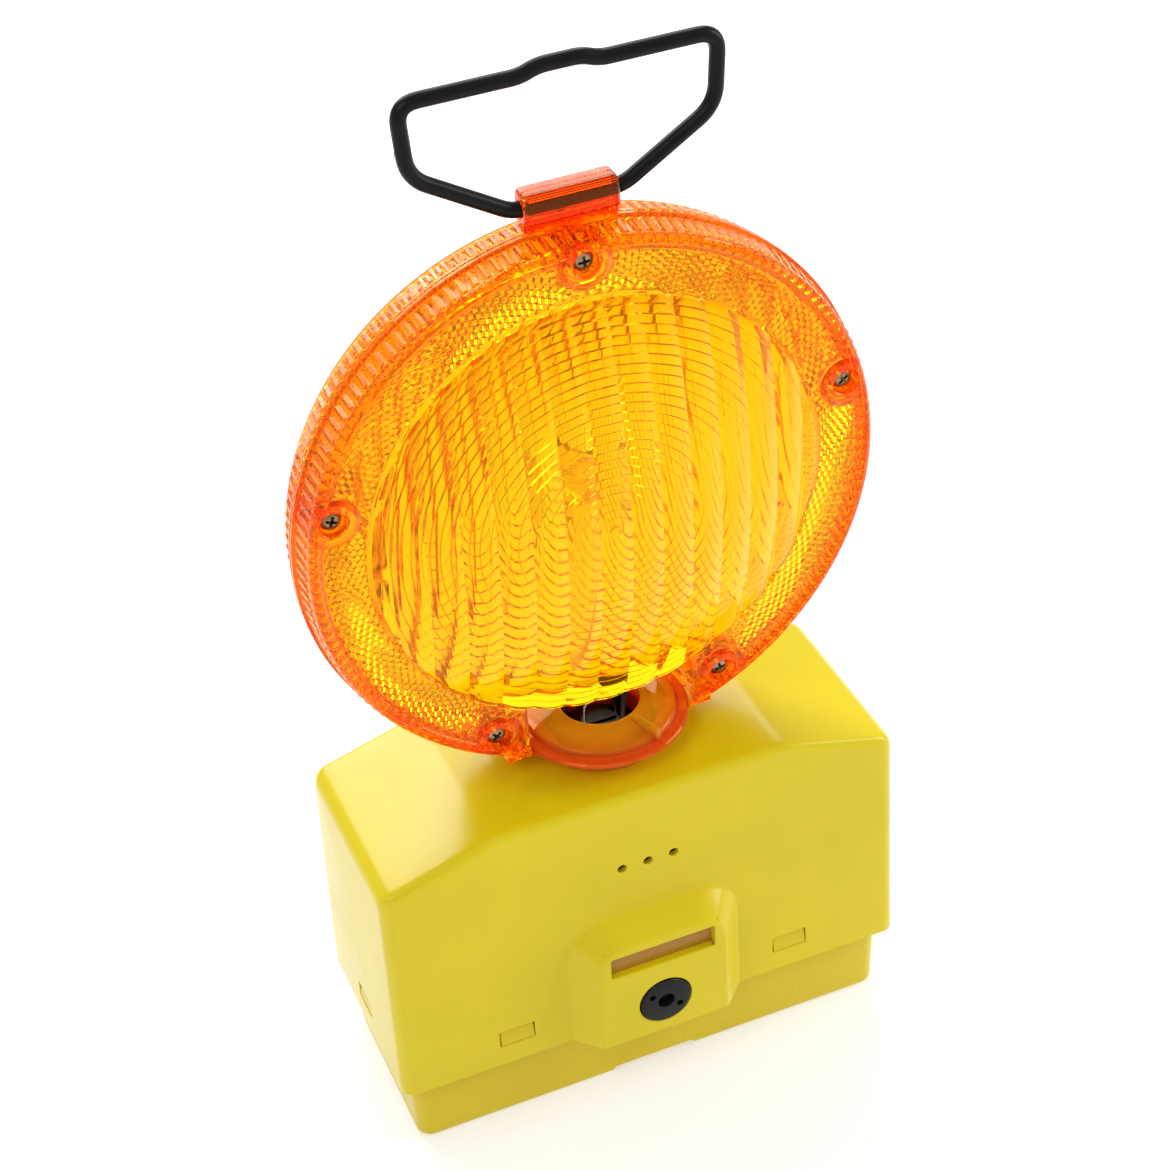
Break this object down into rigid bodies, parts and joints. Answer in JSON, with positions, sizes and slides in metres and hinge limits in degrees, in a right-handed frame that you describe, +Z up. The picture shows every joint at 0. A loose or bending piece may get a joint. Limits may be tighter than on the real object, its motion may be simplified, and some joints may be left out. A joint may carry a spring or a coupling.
{
  "type": "hazard warning lamp",
  "caption": "Portable road hazard warning lamp: round amber lens head on a turret over a yellow battery box with a lift-off hood, spanner lock and folding wire handle.",
  "frame": {"origin": "centre of the flat underside of the tray", "axes": "+Z up through the turret and the lens centre, +X along the long side of the box, -Y towards the front with the lock"},
  "size_m": [0.206, 0.0916, 0.4021],
  "materials": {
    "yellow_shell": "glossy moulded shell, traffic yellow, light orange-peel",
    "amber_lens": "clear amber moulding with optic ribs and prisms",
    "battery_jacket": "printed sleeve without lettering",
    "carrier_plastic": "moulded grey",
    "brass": "stamped strip",
    "green_board": "solder mask over laminate",
    "cell_resin": "dark cast resin",
    "lamp_resin": "clear cast resin",
    "black_plastic": "satin black moulding",
    "white_plastic": "satin white moulding",
    "black_lead": "soft black insulation",
    "steel": "bright zinc plate",
    "seal_silicone": "soft amber silicone",
    "coated_wire": "steel wire with a thick black plastic coat"
  },
  "bodies": {
    "tray": {"tray": "yellow_shell", "battery_left": "battery_jacket", "battery_right": "battery_jacket", "spring_left_center": "steel", "spring_left_corner": "steel", "spring_right_center": "steel", "spring_right_corner": "steel"},
    "hood": {"hood": "yellow_shell", "contact_carrier": "carrier_plastic", "contact_strip_center": "brass", "contact_strip_corner": "brass", "circuit_board": "green_board", "photocell": "cell_resin", "indicator_left": "lamp_resin", "indicator_right": "lamp_resin", "switch_body": "black_plastic", "lead_plug": "white_plastic", "board_lead": "black_lead", "carrier_screw_1": "steel", "carrier_screw_2": "steel", "carrier_screw_3": "steel", "carrier_screw_4": "steel", "board_screw_1": "steel", "board_screw_2": "steel"},
    "lock": {"lock_plug": "black_plastic", "lock_shaft": "steel", "lock_clip": "steel", "lock_cam": "steel", "cam_nut": "steel"},
    "switch": {"switch_slider": "white_plastic"},
    "head": {"front_lens": "amber_lens", "rear_lens": "amber_lens", "collar": "amber_lens", "turret_ring": "white_plastic", "turret_seal": "seal_silicone", "lamp_base": "black_plastic", "lamp_stem": "lamp_resin", "lamp_diode_front": "lamp_resin", "lamp_diode_rear": "lamp_resin", "head_lead": "black_lead", "lens_screw_1": "steel", "lens_screw_2": "steel", "lens_screw_3": "steel", "lens_screw_4": "steel", "lens_screw_5": "steel"},
    "handle": {"handle_bar": "coated_wire"}
  },
  "joints": [
    {"name": "hood_lift", "type": "slide", "parent": "tray", "child": "hood", "axis": [0, 0, 1], "range_m": [0, 0.12]},
    {"name": "lock_turn", "type": "hinge", "parent": "hood", "child": "lock", "pos_m": [0, -0.0506, 0.0464], "axis": [0, 1, 0], "range_deg": [0, 90]},
    {"name": "switch_slide", "type": "slide", "parent": "hood", "child": "switch", "axis": [1, 0, 0], "range_m": [0, 0.004]},
    {"name": "head_turn", "type": "hinge", "parent": "hood", "child": "head", "pos_m": [0, 0, 0.149], "axis": [0, 0, 1], "range_deg": [-90, 90]},
    {"name": "handle_fold", "type": "hinge", "parent": "head", "child": "handle", "pos_m": [0, 0, 0.3535], "axis": [1, 0, 0], "range_deg": [-120, 120]}
  ]
}
